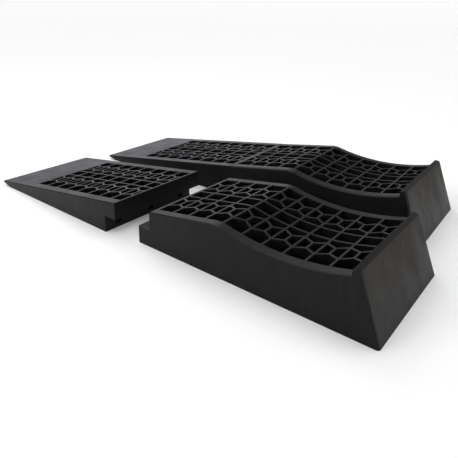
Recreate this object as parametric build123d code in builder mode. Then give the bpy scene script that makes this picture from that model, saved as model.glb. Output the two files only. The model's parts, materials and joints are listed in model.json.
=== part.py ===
"""Leveling block set: two ramps, each an approach wedge and a wheel cradle block.

The four pieces are black injection mouldings, hollow from below, with a lattice of
upright ribs between two solid rims. A wedge hooks over the tongue of its block, and
pegs on the tongue keep the two from sliding apart.

Each moulding is drawn about its own joint plane: X = 0 is the face where wedge and
block meet, +X runs up the ramp towards the end stop, Y = 0 is the centre line and
Z = 0 is the ground. The set stands with the middle of its bounding box at the origin.
"""

from math import cos, hypot, radians, sin, tan
import os

from build123d import *

# --- driving dimensions, in millimetres -------------------------------------------

WIDTH = 240.0  # over the foot of the side walls
SIDE_LEAN = 3.6  # degrees that the side walls lean in
WALL = 4.0  # outer walls and top skins
RIB = 4.4  # lattice ribs
GRID_HALF = 96.8  # centre line to the inner face of a rim

JOINT_HEIGHT = 68.8  # top of both pieces where they meet
JOINT_GAP = 0.5  # clearance between a joined wedge and block
TONGUE_LENGTH = 31.0
TONGUE_HEIGHT = 33.8
JOINT_WALL = 5.0  # wall of either piece at the joint

CREST_X = 155.0
CREST_HEIGHT = 92.4
CREST_RADIUS = 60.0
CRADLE_DIP = 16.3  # depth of the cradle below the line from crest to stop
STOP_X = 384.0  # face of the end stop that the tyre meets
CRADLE_END_HEIGHT = 92.9
STOP_HEIGHT = 103.0
STOP_THICKNESS = 10.0  # along X at the top
BLOCK_LENGTH = 438.5
BLOCK_PITCH = 37.8  # between the cross ribs
BLOCK_CROSS_RIBS = 11
BLOCK_RIM_RADIUS = 3.5
END_CORNER_RADIUS = 5.0  # upright corners of the end wall
TONGUE_CORNER_RADIUS = 3.0  # upright corners of the tongue

WEDGE_LENGTH = 432.6
TOE_HEIGHT = 9.7
TOE_THICKNESS = 2.2
TOE_BEVEL = 27.0  # how far back the underside of the toe reaches the ground
PLATE_END_X = -304.5  # where the plain toe plate gives way to the lattice
WEDGE_PITCH = 39.0
WEDGE_CROSS_RIBS = 9
WEDGE_RIM_RADIUS = 1.6

CENTRE_RIB_Y = 15.9  # the two straight ribs along the lattice
HEX_ROW_Y = 51.0  # centre line of each row of hexagons
HEX_TIP = 20.6  # from the row's centre line to a hexagon's points
HEX_SHOULDER = 10.3  # from the row's centre line to a hexagon's shoulders

PEG_ROW_Y = (-88.0, 0.0, 88.0)
PEG_HEIGHT = 13.0
PEG_LENGTH = 6.0
PEG_WIDTH = 11.0
PEG_DEPTH = 7.0
PEG_CORNER = 1.2
SOCKET_WIDTH = 14.0
SOCKET_DEPTH = 9.0
SOCKET_LENGTH = 7.5
SOCKET_WALL = 3.0  # around and behind each socket

# How the four pieces stand, measured from the front block's joint plane.
FRONT_WEDGE_AT = (-80.0, -14.0)
REAR_SET_AT = (-50.9, 290.9)
REAR_SET_TURN = 1.57  # degrees

# --- values worked out from them --------------------------------------------------

CRADLE_CHORD = (STOP_X - CREST_X, CRADLE_END_HEIGHT - CREST_HEIGHT)
CHORD_LENGTH = hypot(*CRADLE_CHORD)
CRADLE_RADIUS = (CHORD_LENGTH**2 / 4 + CRADLE_DIP**2) / (2 * CRADLE_DIP)
CENTRE_RISE = (CRADLE_RADIUS - CRADLE_DIP) / CHORD_LENGTH  # per unit of the chord
CRADLE_CENTRE = (
    (CREST_X + STOP_X) / 2 - CRADLE_CHORD[1] * CENTRE_RISE,
    (CREST_HEIGHT + CRADLE_END_HEIGHT) / 2 + CRADLE_CHORD[0] * CENTRE_RISE,
)
STOP_TOP_X = STOP_X + STOP_THICKNESS
END_SLOPE = (BLOCK_LENGTH - STOP_TOP_X) / STOP_HEIGHT  # X lost for each Z gained
RAMP_SLOPE = (JOINT_HEIGHT - TOE_HEIGHT) / WEDGE_LENGTH
TALL = STOP_HEIGHT + 20.0  # past the top of any piece
BELOW = -4 * WALL  # past the ground, so that cores open downwards
FULL_HEIGHT = TALL - BELOW
RIM_WALL_MID = GRID_HALF + RIB / 2
RIM_CHANNEL = GRID_HALF + RIB
BLOCK_RIB_X = [JOINT_WALL + BLOCK_PITCH * n for n in range(BLOCK_CROSS_RIBS)]
TOE_SOLID_X = -WEDGE_LENGTH + TOE_BEVEL + WALL  # the toe is solid up to here
HOOK_X = -TONGUE_LENGTH - JOINT_GAP  # riser of the wedge, behind the tongue
RISER_X = HOOK_X - RIB / 2
WEDGE_RIB_X = [RISER_X + WEDGE_PITCH * (1 - n) for n in range(WEDGE_CROSS_RIBS)]
GUSSET_Y = (-HEX_ROW_Y, -CENTRE_RIB_Y, CENTRE_RIB_Y, HEX_ROW_Y)


def half_width(height, inset=0.0):
    """Half the width between the leaning side walls at a height above the ground."""
    return WIDTH / 2 - inset - height * tan(radians(SIDE_LEAN))


def side_envelope(start_x, inset=0.0):
    """The section, across the piece, that lies between the side walls."""
    with BuildSketch(Plane.YZ.offset(start_x)) as section:
        with BuildLine():
            Polyline(
                (-half_width(BELOW, inset), BELOW),
                (half_width(BELOW, inset), BELOW),
                (half_width(TALL, inset), TALL),
                (-half_width(TALL, inset), TALL),
                close=True,
            )
        make_face()
    return section.sketch


def cross_walls(xs, thickness):
    """Plan of walls across the whole width, centred on each X."""
    with BuildSketch(Plane.XY.offset(BELOW)) as plan:
        with Locations([(x, 0) for x in xs]):
            Rectangle(thickness, 2 * half_width(BELOW))
    return plan.sketch


def long_walls(start_x, end_x):
    """Plan of the gussets along the piece."""
    with BuildSketch(Plane.XY.offset(BELOW)) as plan:
        with Locations([((start_x + end_x) / 2, y) for y in GUSSET_Y]):
            Rectangle(end_x - start_x, RIB)
    return plan.sketch


def strip(start_x, end_x, half):
    """Plan of a rectangle about the centre line."""
    with BuildSketch(Plane.XY.offset(BELOW)) as plan:
        with Locations([((start_x + end_x) / 2, 0)]):
            Rectangle(end_x - start_x, 2 * half)
    return plan.sketch


def cell_outlines(low_x, high_x):
    """Outlines, on rib centre lines, of the cells between two neighbouring cross ribs."""
    mid_x = (low_x + high_x) / 2
    inner_tip = HEX_ROW_Y - HEX_TIP
    inner_shoulder = HEX_ROW_Y - HEX_SHOULDER
    outer_shoulder = HEX_ROW_Y + HEX_SHOULDER
    outer_tip = HEX_ROW_Y + HEX_TIP
    centre = [
        (low_x, -CENTRE_RIB_Y),
        (high_x, -CENTRE_RIB_Y),
        (high_x, CENTRE_RIB_Y),
        (low_x, CENTRE_RIB_Y),
    ]
    inner = [
        (low_x, CENTRE_RIB_Y),
        (high_x, CENTRE_RIB_Y),
        (high_x, inner_tip),
        (mid_x, inner_shoulder),
        (low_x, inner_tip),
    ]
    outer = [
        (low_x, outer_tip),
        (mid_x, outer_shoulder),
        (high_x, outer_tip),
        (high_x, RIM_WALL_MID),
        (low_x, RIM_WALL_MID),
    ]
    halves = [
        [(x, inner_tip), (mid_x, inner_shoulder), (mid_x, outer_shoulder), (x, outer_tip)]
        for x in (low_x, high_x)
    ]
    row = (inner, outer, *halves)
    mirrored = [[(x, -y) for x, y in outline] for outline in row]
    return [centre, *row, *mirrored]


def cell(outline):
    """One lattice cell, drawn in from the centre lines of its ribs."""
    with BuildSketch(Plane.XY.offset(BELOW)) as plan:
        with BuildLine():
            Polyline(*outline, close=True)
        make_face()
        offset(amount=-RIB / 2, kind=Kind.INTERSECTION, mode=Mode.REPLACE)
    return plan.sketch


def lattice_cells(rib_x, start_x, end_x):
    """Plan of every cell of a lattice, kept between its end walls."""
    rib_x = sorted(rib_x)
    with BuildSketch(Plane.XY.offset(BELOW)) as plan:
        for low_x, high_x in zip(rib_x, rib_x[1:]):
            for outline in cell_outlines(low_x, high_x):
                add(cell(outline))
        add(strip(start_x, end_x, GRID_HALF), mode=Mode.INTERSECT)
    return plan.sketch


def peg_row(plane_x, width, depth):
    """Section of the row of pegs on a tongue, or of the sockets that take them."""
    with BuildSketch(Plane.YZ.offset(plane_x)) as section:
        with Locations([(y, PEG_HEIGHT) for y in PEG_ROW_Y]):
            RectangleRounded(width, depth, PEG_CORNER)
    return section.sketch


def climbs(edge):
    """Whether an edge gains more height than length or width, like a corner of two walls."""
    size = edge.bounding_box().size
    return size.Z > max(size.X, size.Y)


# --- wheel cradle block -----------------------------------------------------------


def block_side(foot):
    """Side outline of the block down to a foot level; the cradle runs on under the stop."""
    crest = (CREST_X, CREST_HEIGHT)
    with BuildSketch() as outline:
        with BuildLine():
            Polyline(
                (BLOCK_LENGTH - foot * END_SLOPE, foot),
                (-TONGUE_LENGTH, foot),
                (-TONGUE_LENGTH, TONGUE_HEIGHT),
                (0, TONGUE_HEIGHT),
                (0, JOINT_HEIGHT),
                crest,
                (STOP_TOP_X, STOP_HEIGHT),
                close=True,
            )
        make_face()
        with Locations(CRADLE_CENTRE):
            Circle(CRADLE_RADIUS, mode=Mode.SUBTRACT)
        fillet(outline.vertices().sort_by_distance(crest)[0], radius=CREST_RADIUS)
    return outline.sketch


def stop_side(foot, front):
    """Side outline of the end stop, whose front runs up through some points to its face."""
    with BuildSketch() as outline:
        with BuildLine():
            Polyline(
                *front,
                (STOP_X, STOP_HEIGHT),
                (STOP_TOP_X, STOP_HEIGHT),
                (BLOCK_LENGTH - foot * END_SLOPE, foot),
                close=True,
            )
        make_face()
    return outline.sketch


with BuildPart() as block_core:
    with BuildSketch(Plane.XZ):
        add(block_side(BELOW))
        offset(amount=-WALL, kind=Kind.INTERSECTION, mode=Mode.REPLACE)
    extrude(amount=WIDTH, both=True)
    channel_end = TONGUE_LENGTH + BLOCK_RIB_X[-1]
    extrude(side_envelope(-TONGUE_LENGTH, WALL), amount=channel_end, mode=Mode.INTERSECT)
    solid_plans = (
        strip(0, STOP_X, RIM_CHANNEL),
        cross_walls([JOINT_WALL / 2], JOINT_WALL),
        cross_walls(BLOCK_RIB_X[1:], RIB),
        long_walls(-TONGUE_LENGTH, 0),
    )
    for plan in solid_plans:
        extrude(plan, amount=FULL_HEIGHT, mode=Mode.SUBTRACT)

with BuildPart() as stop_core:
    with BuildSketch(Plane.XZ):
        ledge = (STOP_X - WALL, CRADLE_END_HEIGHT), (STOP_X, CRADLE_END_HEIGHT)
        add(stop_side(BELOW, [(STOP_X - WALL, BELOW), *ledge]))
        offset(amount=-WALL, kind=Kind.INTERSECTION, mode=Mode.REPLACE)
    extrude(amount=WIDTH, both=True)
    extrude(side_envelope(STOP_X, WALL), amount=BLOCK_LENGTH, mode=Mode.INTERSECT)
    extrude(long_walls(STOP_X, BLOCK_LENGTH), amount=FULL_HEIGHT, mode=Mode.SUBTRACT)

with BuildPart() as stop:
    with BuildSketch(Plane.XZ):
        add(stop_side(0, [(STOP_X, 0)]))
    extrude(amount=WIDTH, both=True)
    extrude(side_envelope(STOP_X - WALL), amount=BLOCK_LENGTH, mode=Mode.INTERSECT)

with BuildPart() as block:
    with BuildSketch(Plane.XZ):
        add(block_side(0))
    extrude(amount=WIDTH, both=True)
    extrude(side_envelope(-TONGUE_LENGTH), amount=TONGUE_LENGTH + BLOCK_LENGTH, mode=Mode.INTERSECT)
    long_edges = block.edges().filter_by(Axis.Y, reverse=True)
    rim_edges = long_edges.filter_by(lambda e: e.bounding_box().min.Z > JOINT_HEIGHT - WALL)
    rim_edges = rim_edges.filter_by(lambda e: e.bounding_box().size.X > WALL)
    fillet(rim_edges, radius=BLOCK_RIM_RADIUS)
    add(stop.part)
    corners = block.edges().filter_by(climbs)
    end_corners = corners.filter_by(lambda e: e.bounding_box().max.X > BLOCK_LENGTH - WALL)
    fillet(end_corners, radius=END_CORNER_RADIUS)
    corners = block.edges().filter_by(climbs)
    tongue_corners = corners.filter_by(lambda e: e.bounding_box().max.X < -JOINT_GAP)
    fillet(tongue_corners, radius=TONGUE_CORNER_RADIUS)
    add(block_core.part, mode=Mode.SUBTRACT)
    add(stop_core.part, mode=Mode.SUBTRACT)
    cells = lattice_cells(BLOCK_RIB_X, JOINT_WALL, BLOCK_RIB_X[-1] - RIB / 2)
    extrude(cells, amount=FULL_HEIGHT, mode=Mode.SUBTRACT)
    pegs = peg_row(-TONGUE_LENGTH - PEG_LENGTH, PEG_WIDTH, PEG_DEPTH)
    extrude(pegs, amount=PEG_LENGTH + WALL)

# --- approach wedge ---------------------------------------------------------------


def ramp_point(x):
    """The point of the ramp's top line at an X, in the side outline."""
    return x, JOINT_HEIGHT + x * RAMP_SLOPE


def wedge_side(toe, hook_height, foot):
    """Side outline of the wedge from its toe; its high end is cut away below the hook."""
    with BuildSketch() as outline:
        with BuildLine():
            Polyline(
                *toe,
                ramp_point(-JOINT_GAP),
                (-JOINT_GAP, hook_height),
                (HOOK_X, hook_height),
                (HOOK_X, foot),
                close=True,
            )
        make_face()
    return outline.sketch


with BuildPart() as wedge_core:
    with BuildSketch(Plane.XZ):
        # The hook's underside is drawn below the ground too, so its hollow stays open.
        hollow_x = TOE_SOLID_X - WALL
        add(wedge_side([(hollow_x, BELOW), ramp_point(hollow_x)], BELOW / 2, BELOW))
        offset(amount=-WALL, kind=Kind.INTERSECTION, mode=Mode.REPLACE)
    extrude(amount=WIDTH, both=True)
    extrude(side_envelope(TOE_SOLID_X, WALL), amount=-TOE_SOLID_X, mode=Mode.INTERSECT)
    solid_plans = (
        strip(PLATE_END_X, 0, RIM_CHANNEL),
        cross_walls([PLATE_END_X - RIB / 2], RIB),
        cross_walls(WEDGE_RIB_X[1:-1], RIB),
        cross_walls([-JOINT_GAP - JOINT_WALL / 2], JOINT_WALL),
        long_walls(-WEDGE_LENGTH, PLATE_END_X),
    )
    for plan in solid_plans:
        extrude(plan, amount=FULL_HEIGHT, mode=Mode.SUBTRACT)

with BuildPart() as wedge:
    with BuildSketch(Plane.XZ):
        toe_face = (-WEDGE_LENGTH, TOE_HEIGHT - TOE_THICKNESS), (-WEDGE_LENGTH, TOE_HEIGHT)
        toe = [(-WEDGE_LENGTH + TOE_BEVEL, 0), *toe_face]
        add(wedge_side(toe, TONGUE_HEIGHT + JOINT_GAP, 0))
    extrude(amount=WIDTH, both=True)
    extrude(side_envelope(-WEDGE_LENGTH), amount=WEDGE_LENGTH, mode=Mode.INTERSECT)
    long_edges = wedge.edges().filter_by(Axis.Y, reverse=True)
    rim_edges = long_edges.filter_by(lambda e: e.bounding_box().max.Z > JOINT_HEIGHT - WALL)
    rim_edges = rim_edges.filter_by(lambda e: e.bounding_box().size.X > WEDGE_LENGTH / 2)
    fillet(rim_edges, radius=WEDGE_RIM_RADIUS)
    add(wedge_core.part, mode=Mode.SUBTRACT)
    cells = lattice_cells(WEDGE_RIB_X, PLATE_END_X, -JOINT_GAP - JOINT_WALL)
    extrude(cells, amount=FULL_HEIGHT, mode=Mode.SUBTRACT)
    boss_length = SOCKET_LENGTH + SOCKET_WALL
    with BuildSketch(Plane.YZ.offset(HOOK_X - boss_length)):
        with Locations([(y, PEG_HEIGHT) for y in PEG_ROW_Y]):
            Rectangle(SOCKET_WIDTH + 2 * SOCKET_WALL, SOCKET_DEPTH + 2 * SOCKET_WALL)
    extrude(amount=boss_length)
    sockets = peg_row(HOOK_X - SOCKET_LENGTH, SOCKET_WIDTH, SOCKET_DEPTH)
    extrude(sockets, amount=SOCKET_LENGTH + WALL, mode=Mode.SUBTRACT)

# --- the set as it stands ---------------------------------------------------------


def standing_plane(place, turn=0.0):
    """Ground plane of a piece whose joint plane stands at a place, turned about Z."""
    along = (cos(radians(turn)), sin(radians(turn)), 0)
    return Plane(origin=(*place, 0), x_dir=along, z_dir=(0, 0, 1))


layout = {
    "front_block": (block, (0.0, 0.0), 0.0),
    "front_wedge": (wedge, FRONT_WEDGE_AT, 0.0),
    "rear_block": (block, REAR_SET_AT, REAR_SET_TURN),
    "rear_wedge": (wedge, REAR_SET_AT, REAR_SET_TURN),
}
footprint = Compound(
    children=[
        moulding.part.moved(standing_plane(place, turn).location)
        for moulding, place, turn in layout.values()
    ]
).bounding_box()
middle = footprint.center()

os.makedirs("parts", exist_ok=True)
for name, (moulding, place, turn) in layout.items():
    centred = (place[0] - middle.X, place[1] - middle.Y)
    with BuildPart(standing_plane(centred, turn)) as piece:
        add(moulding.part)
    piece.part.label = name
    export_step(piece.part, f"parts/{name}.step")
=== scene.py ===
"""Looks of the leveling block set: four black injection mouldings on a pale studio floor.

Every moulding is rebuilt from its CAD node with the rounded edges that a mould leaves,
and takes one procedural plastic: satin black with a fine grain, glossier rim edges, faint
upright flow marks on the walls, soft sink marks where ribs meet them, a little wear along
the edges, and a painted reflection on the end walls: a brownish tint standing in for a warm
surround that they reflect. Lengths are in metres.
"""

import json
import math

import bmesh
import bpy
from mathutils import Euler, Matrix, Vector


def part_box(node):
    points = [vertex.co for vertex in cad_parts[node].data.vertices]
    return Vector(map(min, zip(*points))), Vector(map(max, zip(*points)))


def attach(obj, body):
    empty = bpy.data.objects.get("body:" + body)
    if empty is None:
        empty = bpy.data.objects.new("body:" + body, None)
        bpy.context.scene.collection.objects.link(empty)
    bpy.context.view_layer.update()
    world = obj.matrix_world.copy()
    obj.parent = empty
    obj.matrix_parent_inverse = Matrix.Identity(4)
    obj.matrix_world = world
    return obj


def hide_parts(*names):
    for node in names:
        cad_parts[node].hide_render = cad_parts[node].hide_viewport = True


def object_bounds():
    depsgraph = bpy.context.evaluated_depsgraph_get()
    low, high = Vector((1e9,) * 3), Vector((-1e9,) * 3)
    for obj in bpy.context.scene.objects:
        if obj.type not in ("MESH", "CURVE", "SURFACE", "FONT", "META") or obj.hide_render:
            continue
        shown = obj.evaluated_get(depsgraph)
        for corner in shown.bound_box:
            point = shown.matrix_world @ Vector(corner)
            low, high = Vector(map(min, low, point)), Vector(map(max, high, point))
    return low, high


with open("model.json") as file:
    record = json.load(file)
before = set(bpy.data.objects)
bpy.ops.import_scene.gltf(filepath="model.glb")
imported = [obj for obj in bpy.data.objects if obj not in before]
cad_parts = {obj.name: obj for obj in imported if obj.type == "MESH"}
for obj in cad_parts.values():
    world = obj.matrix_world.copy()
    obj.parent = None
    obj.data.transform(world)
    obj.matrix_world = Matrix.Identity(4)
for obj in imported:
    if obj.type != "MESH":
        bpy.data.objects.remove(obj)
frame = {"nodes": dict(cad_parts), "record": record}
cad_low, cad_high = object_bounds()

MM = 0.001
SLOT = "black_plastic"
STOP_FACE_X = 384 * MM  # the end stop's face towards the wheel, in a block's own frame

# --- camera -----------------------------------------------------------------------

CAMERA_FROM_CORNER = Vector((0.12235, -0.46900, 0.40396))  # from the front block's near end corner
CAMERA_AZIMUTH = 38.587  # degrees
CAMERA_PITCH = 27.014  # degrees below the horizon
CAMERA_ROLL = 0.47  # degrees
CAMERA_LENS, CAMERA_SENSOR = 34.965, 36  # mm


def make_camera():
    """A camera at the photograph's viewing angle."""
    low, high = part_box("front_block")
    data = bpy.data.cameras.new("camera")
    data.sensor_width = CAMERA_SENSOR
    data.lens = CAMERA_LENS
    camera = bpy.data.objects.new("camera", data)
    bpy.context.scene.collection.objects.link(camera)
    camera.location = Vector((high.x, low.y, 0)) + CAMERA_FROM_CORNER
    turn = Euler((math.radians(90 - CAMERA_PITCH), 0, math.radians(CAMERA_AZIMUTH))).to_quaternion()
    roll = Euler((0, 0, math.radians(CAMERA_ROLL))).to_quaternion()
    camera.rotation_mode = "QUATERNION"
    camera.rotation_quaternion = turn @ roll
    bpy.context.scene.camera = camera


# --- node helpers -----------------------------------------------------------------


class Nodes:
    """Builds a node tree, so that a recipe reads as a list of steps."""

    def __init__(self, tree):
        self.tree = tree
        tree.nodes.clear()

    def add(self, kind):
        return self.tree.nodes.new(kind)

    def output(self, kind, shader):
        """Ends the tree with a shader's output."""
        self.put(self.add(kind).inputs["Surface"], shader.outputs[0])

    def put(self, socket, value):
        """Links a socket to an output, or sets its own value."""
        if isinstance(value, bpy.types.NodeSocket):
            self.tree.links.new(value, socket)
        else:
            socket.default_value = value

    def math(self, operation, a, b=0.0):
        node = self.add("ShaderNodeMath")
        node.operation = operation
        self.put(node.inputs[0], a)
        self.put(node.inputs[1], b)
        return node.outputs[0]

    def ramp(self, value, low, high, start=0.0, end=1.0):
        """Maps low..high to start..end, smoothly and clamped."""
        node = self.add("ShaderNodeMapRange")
        node.interpolation_type = "SMOOTHSTEP"
        for socket, number in zip(node.inputs, (value, low, high, start, end)):
            self.put(socket, number)
        return node.outputs[0]

    def mix(self, factor, a, b):
        """Mixes two colours."""
        node = self.add("ShaderNodeMix")
        node.data_type = "RGBA"
        self.put(node.inputs["Factor"], factor)
        colours = [s for s in node.inputs if s.type == "RGBA"]
        self.put(colours[0], a)
        self.put(colours[1], b)
        return next(s for s in node.outputs if s.type == "RGBA")

    def noise(self, vector, scale, detail=2.0, roughness=0.5):
        node = self.add("ShaderNodeTexNoise")
        self.put(node.inputs["Vector"], vector)
        self.put(node.inputs["Scale"], scale)
        self.put(node.inputs["Detail"], detail)
        self.put(node.inputs["Roughness"], roughness)
        return node.outputs["Fac"]

    def vector(self, operation, a, b):
        node = self.add("ShaderNodeVectorMath")
        node.operation = operation
        self.put(node.inputs[0], a)
        self.put(node.inputs["Scale"] if operation == "SCALE" else node.inputs[1], b)
        return node.outputs["Value"] if operation == "DOT_PRODUCT" else node.outputs["Vector"]

    def split(self, vector):
        node = self.add("ShaderNodeSeparateXYZ")
        self.put(node.inputs[0], vector)
        return node.outputs

    def attribute(self, name, output):
        node = self.add("ShaderNodeAttribute")
        node.attribute_name = name
        return node.outputs[output]

    def bump(self, height, distance, strength, normal=None):
        node = self.add("ShaderNodeBump")
        self.put(node.inputs["Height"], height)
        self.put(node.inputs["Distance"], distance)
        self.put(node.inputs["Strength"], strength)
        if normal is not None:
            self.put(node.inputs["Normal"], normal)
        return node.outputs[0]


# --- the plastic ------------------------------------------------------------------

BLACKS = (0.0032, 0.0032, 0.0036, 1), (0.0056, 0.0055, 0.0059, 1)
STREAK_COLOUR = (0.013, 0.0125, 0.012, 1)
# Painted reflection: a brownish tint on the end walls, standing in for a warm surround that they
# reflect.
PAINTED_REFLECTION_TINT = (0.022, 0.0155, 0.0075, 1)
WEAR_COLOUR = (0.030, 0.030, 0.032, 1)
ROUGHNESS = 0.37, 0.46
SPECULAR_LEVEL = 0.14
# Noise scales, per metre. The two flows are stretched upright.
CLOUDS, SCUFFS, SPECKLES, GRAIN = 9.0, 60.0, 420.0, 1500.0
WIDE_FLOW, FINE_FLOW = (30.0, 30.0, 5.0), (110.0, 110.0, 3.0)
SINK_DEPTH, FLOW_DEPTH, GRAIN_DEPTH = 0.12 * MM, 0.10 * MM, 0.04 * MM
END_WALL_X = STOP_FACE_X + 4 * MM, STOP_FACE_X + 8 * MM  # where a block's end wall takes over
INNER_RIBS_Y = 62 * MM, 68 * MM  # how far off the centre line the ribs behind an end wall end
PAINTED_REFLECTION_HEIGHT = 60 * MM, 150 * MM  # where the painted reflection begins and where it is at full strength
PAINTED_REFLECTION_WAVE = 90 * MM  # how far its lower edge wanders


def sink_marks(nodes, across, facing):
    """How deep a wall sinks over the ribs behind it: 1 on a rib line, 0 between them."""
    off = nodes.math("ABSOLUTE", nodes.math("SUBTRACT", nodes.math("FRACT", across), 0.5))
    return nodes.math("MULTIPLY", nodes.ramp(off, 0.40, 0.5), nodes.ramp(facing, 0.6, 0.8))


def wall_sinks(nodes, own, facing, wide):
    """The sink marks of the side walls and, over the inner ribs, of the end walls."""
    cross, along = (nodes.attribute(name, "Fac") for name in ("cross_ribs", "long_ribs"))
    on_sides = sink_marks(nodes, cross, nodes.math("ABSOLUTE", facing["Y"]))
    on_ends = sink_marks(nodes, along, facing["X"])
    inner = nodes.ramp(nodes.math("ABSOLUTE", own["Y"]), *INNER_RIBS_Y, 1.0, 0.0)
    sink = nodes.math("MAXIMUM", on_sides, nodes.math("MULTIPLY", on_ends, inner))
    return nodes.math("MULTIPLY", sink, nodes.ramp(wide, 0.3, 0.65, 0.15, 1.0))


def painted_end_reflection(nodes, own, facing, wide, fine):
    """A painted reflection: a brownish tint on the end walls, stronger towards their top, standing
    in for a warm surround that they reflect.
    """
    height = nodes.math("ADD", own["Z"], nodes.math("MULTIPLY", wide, PAINTED_REFLECTION_WAVE))
    past_stop = nodes.ramp(own["X"], *END_WALL_X)
    on_end = nodes.math("MULTIPLY", past_stop, nodes.ramp(facing["X"], 0.5, 0.8))
    painted_reflection = nodes.math("MULTIPLY", nodes.ramp(height, *PAINTED_REFLECTION_HEIGHT), on_end)
    return nodes.math("MULTIPLY", painted_reflection, nodes.ramp(fine, 0.25, 0.6, 0.5, 1.0))


def black_plastic():
    """Satin black moulded plastic."""
    material = bpy.data.materials.new(SLOT + "_look")
    material.use_nodes = True
    nodes = Nodes(material.node_tree)
    own = nodes.attribute("own", "Vector")
    place = nodes.split(own)
    facing = nodes.split(nodes.add("ShaderNodeNewGeometry").outputs["True Normal"])
    steep = nodes.ramp(nodes.math("ABSOLUTE", facing["Z"]), 0.9, 0.5)

    cloud = nodes.noise(own, CLOUDS, detail=3.0)
    speckle = nodes.noise(own, SPECKLES)
    scuff = nodes.ramp(nodes.noise(own, SCUFFS, detail=5.0, roughness=0.7), 0.45, 0.7)
    grain = nodes.noise(own, GRAIN, detail=3.0, roughness=0.6)
    wide = nodes.noise(nodes.vector("MULTIPLY", own, WIDE_FLOW), 1.0, detail=3.0)
    fine = nodes.noise(nodes.vector("MULTIPLY", own, FINE_FLOW), 1.0, detail=4.0, roughness=0.6)
    flow = nodes.math("MULTIPLY", nodes.math("ADD", wide, fine), steep)

    streak = nodes.math("MULTIPLY", nodes.ramp(fine, 0.42, 0.72), steep)
    sink = wall_sinks(nodes, place, facing, wide)
    # The end walls' warm tint is a painted reflection. The same mask also makes them rougher.
    painted_reflection = painted_end_reflection(nodes, place, facing, wide, fine)
    wear = nodes.math("MULTIPLY", nodes.attribute("edge", "Fac"), scuff)
    rounded = nodes.attribute("rounded", "Fac")

    colour = nodes.mix(cloud, *BLACKS)
    # The second tint is a painted warm reflection on the end walls.
    for mask, share, tint in (
        (streak, 0.3, STREAK_COLOUR),
        (painted_reflection, 0.7, PAINTED_REFLECTION_TINT),
        (wear, 0.5, WEAR_COLOUR),
    ):
        colour = nodes.mix(nodes.math("MULTIPLY", mask, share), colour, tint)

    mottle = nodes.math("MULTIPLY", nodes.math("ADD", cloud, wide), 0.5)
    rough = nodes.ramp(mottle, 0.35, 0.65, *ROUGHNESS)
    for mask, change in (
        (streak, -0.04),
        (rounded, -0.18),
        (painted_reflection, 0.16),
        (nodes.math("SUBTRACT", speckle, 0.5), 0.08),
        (sink, 0.05),
    ):
        rough = nodes.math("ADD", rough, nodes.math("MULTIPLY", mask, change))

    normal = nodes.bump(sink, -SINK_DEPTH, 0.6)
    normal = nodes.bump(flow, FLOW_DEPTH, 0.4, normal)
    normal = nodes.bump(grain, GRAIN_DEPTH, 0.3, normal)

    shader = nodes.add("ShaderNodeBsdfPrincipled")
    nodes.put(shader.inputs["Base Color"], colour)
    nodes.put(shader.inputs["Roughness"], rough)
    nodes.put(shader.inputs["Normal"], normal)
    shader.inputs["IOR"].default_value = 1.5
    shader.inputs["Specular IOR Level"].default_value = SPECULAR_LEVEL
    nodes.output("ShaderNodeOutputMaterial", shader)
    return material


# --- the mouldings ----------------------------------------------------------------

EDGE_RADIUS = 0.6 * MM
STOP_RADIUS = 2.0 * MM
STOP_SEGMENTS, EDGE_SEGMENTS = 4, 2
NEAR = 0.1 * MM  # within this, a point counts as being at a height or on a face
WELD = 0.001 * MM
SHARP = math.radians(35)
ROUNDING_LEAN = 0.25  # how far a rim's rounding leans up, and how far aside, at the least
REAR_TURN = math.radians(1.57)  # how the rear ramp stands turned against the front one
# A moulding's own frame starts where wedge and block meet, on the ground and the centre
# line. These are where its base mount lies there, and its first cross rib and their pitch.
BASE_POINT = {"block": Vector((221, -15.9, 0)) * MM, "wedge": Vector((-140, -15.9, 0)) * MM}
CROSS_RIBS = {"block": (5 * MM, 37.8 * MM), "wedge": (-33.7 * MM, 39 * MM)}
LONG_RIB_PITCH = 33.4 * MM


def own_frame(node):
    """The matrix that takes the shared frame to a moulding's own."""
    mount = next(m for m in frame["record"]["mounts"] if m["name"] == node + "_base")
    turn = Matrix.Rotation(REAR_TURN if node.startswith("rear") else 0, 4, "Z")
    origin = Vector(mount["pos_m"]) - turn @ BASE_POINT[node.split("_")[1]]
    return (Matrix.Translation(origin) @ turn).inverted()


def bevel(bm, edges, radius, segments):
    """Rounds edges to a radius, and returns the faces that makes."""
    done = bmesh.ops.bevel(
        bm,
        geom=edges,
        offset=radius,
        offset_type="OFFSET",
        segments=segments,
        profile=0.5,
        affect="EDGES",
        clamp_overlap=False,
        loop_slide=False,
    )
    return done["faces"]


def round_stop(bm, to_own):
    """Rounds the back edge of the end stop's top more than the other edges."""
    top = max(vert.co.z for vert in bm.verts)
    behind = STOP_FACE_X + NEAR
    edges = [
        e
        for e in bm.edges
        if e.is_manifold
        and e.is_convex
        and e.calc_face_angle() > SHARP
        and all(v.co.z > top - NEAR for v in e.verts)
        and max((to_own @ v.co).x for v in e.verts) > behind
    ]
    bevel(bm, edges, STOP_RADIUS, STOP_SEGMENTS)


def is_rounding(normal):
    """Whether a normal belongs to the rounding between a rim's top and its side wall."""
    return normal.z > ROUNDING_LEAN and abs(normal.y) > ROUNDING_LEAN


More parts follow.
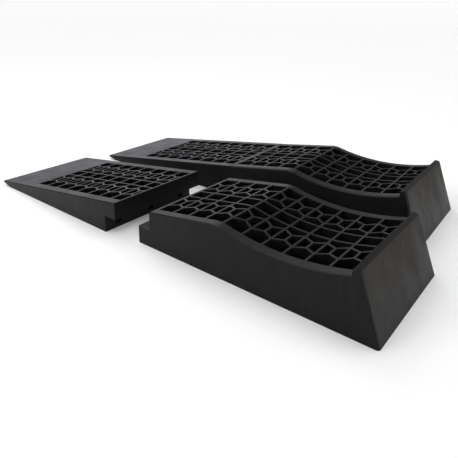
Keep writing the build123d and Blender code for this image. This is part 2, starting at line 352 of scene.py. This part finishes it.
def rounded_mesh(node):
    """A CAD node's mesh with its outward edges rounded, and what its material reads from it."""
    bm = bmesh.new()
    bm.from_mesh(frame["nodes"][node].data)
    edge = bm.faces.layers.float.new("edge")
    rounded = bm.faces.layers.float.new("rounded")
    own = bm.verts.layers.float_vector.new("own")
    cross_ribs = bm.verts.layers.float.new("cross_ribs")
    long_ribs = bm.verts.layers.float.new("long_ribs")
    to_own = own_frame(node)

    bmesh.ops.remove_doubles(bm, verts=bm.verts, dist=WELD)
    round_stop(bm, to_own)
    sharp = [e for e in bm.edges if e.is_manifold and e.is_convex and e.calc_face_angle() > SHARP]
    for face in bevel(bm, sharp, EDGE_RADIUS, EDGE_SEGMENTS):
        face[edge] = 1.0
    bm.normal_update()
    for face in bm.faces:
        face.smooth = True
        face[rounded] = float(is_rounding(face.normal))
    for seam in bm.edges:
        seam.smooth = seam.is_manifold and seam.calc_face_angle() < SHARP
    first, pitch = CROSS_RIBS[node.split("_")[1]]
    for vert in bm.verts:
        place = to_own @ vert.co
        vert[own] = place
        vert[cross_ribs] = (place.x - first) / pitch
        vert[long_ribs] = place.y / LONG_RIB_PITCH + 0.5
    mesh = bpy.data.meshes.new(node + "_moulding")
    bm.to_mesh(mesh)
    bm.free()
    return mesh


def moulding(node, body, material):
    """One moulding, standing in for its CAD node."""
    mesh = rounded_mesh(node)
    mesh.materials.append(material)
    piece = bpy.data.objects.new(node + "_moulding", mesh)
    bpy.context.scene.collection.objects.link(piece)
    weighted = piece.modifiers.new("weighted_normals", "WEIGHTED_NORMAL")
    weighted.weight = 100
    weighted.keep_sharp = True
    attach(piece, body)
    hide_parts(node)


# --- studio -----------------------------------------------------------------------

WHITE = (1.0, 1.0, 1.0)
# Soft panels of light: azimuth from +X towards +Y, elevation, half width at full strength
# and half width overall, in degrees, then strength and colour.
PANELS = [
    (140, 9, 10, 36, 1.30, (0.98, 0.97, 1.06)),
    (88, 14, 8, 26, 0.40, WHITE),
    (222, 24, 4, 14, 4.50, WHITE),
    (240, 26, 4, 14, 4.50, WHITE),
    (258, 28, 4, 14, 4.50, WHITE),
    (20, 6, 5, 18, 1.80, (1.0, 0.98, 0.94)),
    (316, 20, 12, 36, 2.30, WHITE),
    (45, 30, 10, 28, 1.40, WHITE),
    (90, 51, 8, 24, 1.00, WHITE),
    (150, 51, 8, 24, 3.20, (0.99, 1.0, 1.02)),
    (0, 88, 12, 36, 1.00, (1.0, 1.0, 0.99)),
]
BACKDROP = (0.88, 0.88, 0.88, 1)  # what the camera sees past the floor
FLOOR_COLOUR = (0.94, 0.94, 0.94, 1)
FLOOR_RADIUS = 14.0
FLOOR_SEGMENTS = 96
SWEEP = [(1.5, 0.03), (3.0, 0.15), (5.0, 0.5), (8.0, 1.4)]  # how the floor's far edge curves up
SOFTBOX_SIZE = 1.2
SOFTBOX_POWER = 8  # watts
SOFTBOX_LEFT, SOFTBOX_FRONT, SOFTBOX_HEIGHT = 0.4, 0.3, 1.6  # past the set's corner, and up


def floor():
    """A plain pale floor whose far edge curves up, like a studio sweep."""
    rings = [(FLOOR_RADIUS, 0.0), *((FLOOR_RADIUS + out, up) for out, up in SWEEP)]
    bm = bmesh.new()
    last = None
    for radius, height in rings:
        made = bmesh.ops.create_circle(
            bm, segments=FLOOR_SEGMENTS, radius=radius, cap_ends=last is None
        )
        ring = made["verts"]
        for vert in ring:
            vert.co.z = height
        if last is not None:
            for n, vert in enumerate(ring):
                bm.faces.new((last[n - 1], ring[n - 1], vert, last[n]))
        last = ring
    for face in bm.faces:
        face.smooth = True
    mesh = bpy.data.meshes.new("floor")
    bm.to_mesh(mesh)
    bm.free()
    plane = bpy.data.objects.new("floor", mesh)
    bpy.context.scene.collection.objects.link(plane)
    material = bpy.data.materials.new("pale_floor")
    material.use_nodes = True
    nodes = Nodes(material.node_tree)
    shader = nodes.add("ShaderNodeBsdfDiffuse")
    shader.inputs["Color"].default_value = FLOOR_COLOUR
    nodes.output("ShaderNodeOutputMaterial", shader)
    mesh.materials.append(material)


def softbox():
    """A softbox over the front left of the set, so that the floor is brightest there."""
    data = bpy.data.lights.new("softbox", "AREA")
    data.shape = "SQUARE"
    data.size = SOFTBOX_SIZE
    data.energy = SOFTBOX_POWER
    lamp = bpy.data.objects.new("softbox", data)
    bpy.context.scene.collection.objects.link(lamp)
    lamp.location = (cad_low.x - SOFTBOX_LEFT, cad_low.y - SOFTBOX_FRONT, SOFTBOX_HEIGHT)


def studio():
    """Soft panels around and above the set, and a pale backdrop past the floor's edge."""
    world = bpy.data.worlds.new("studio")
    bpy.context.scene.world = world
    world.use_nodes = True
    nodes = Nodes(world.node_tree)
    direction = nodes.add("ShaderNodeTexCoord").outputs["Generated"]
    total = (0.0, 0.0, 0.0)
    for azimuth, elevation, core, reach, strength, colour in PANELS:
        a, e = math.radians(azimuth), math.radians(elevation)
        towards = (math.cos(a) * math.cos(e), math.sin(a) * math.cos(e), math.sin(e))
        facing = nodes.vector("DOT_PRODUCT", direction, towards)
        fade = (math.cos(math.radians(angle)) for angle in (reach, core))
        level = nodes.ramp(facing, *fade, 0.0, strength)
        total = nodes.vector("ADD", nodes.vector("SCALE", colour, level), total)
    seen = nodes.add("ShaderNodeLightPath").outputs["Is Camera Ray"]
    background = nodes.add("ShaderNodeBackground")
    nodes.put(background.inputs["Color"], nodes.mix(seen, total, BACKDROP))
    nodes.output("ShaderNodeOutputWorld", background)


make_camera()
floor()
studio()
softbox()
bpy.context.scene.view_settings.view_transform = "Standard"

plastic = black_plastic()
for body, members in frame["record"]["behaviour"]["bodies"].items():
    for node in members:
        moulding(node, body, plastic)
